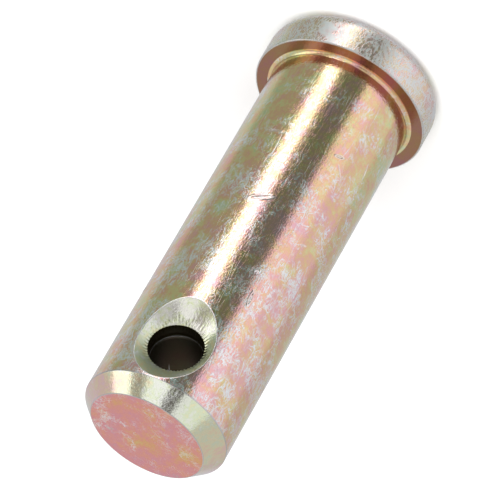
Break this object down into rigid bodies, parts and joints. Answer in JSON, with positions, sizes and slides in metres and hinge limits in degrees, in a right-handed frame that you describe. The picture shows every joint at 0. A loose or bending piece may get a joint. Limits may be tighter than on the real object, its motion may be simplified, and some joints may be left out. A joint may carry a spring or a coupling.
{
  "type": "clevis pin",
  "caption": "Headed steel clevis pin with a chamfered tip and a countersunk cross hole near the tip for a cotter.",
  "frame": {"origin": "centre of the head's outer face, on which the pin stands", "axes": "+Z along the shank from the head to the tip, +X along the cotter hole"},
  "size_m": [0.0156, 0.0156, 0.0419],
  "materials": {
    "plated_steel": "yellow-passivated zinc plate, semi-gloss, handled"
  },
  "bodies": {
    "root": {"clevis_pin": "plated_steel"}
  },
  "joints": []
}
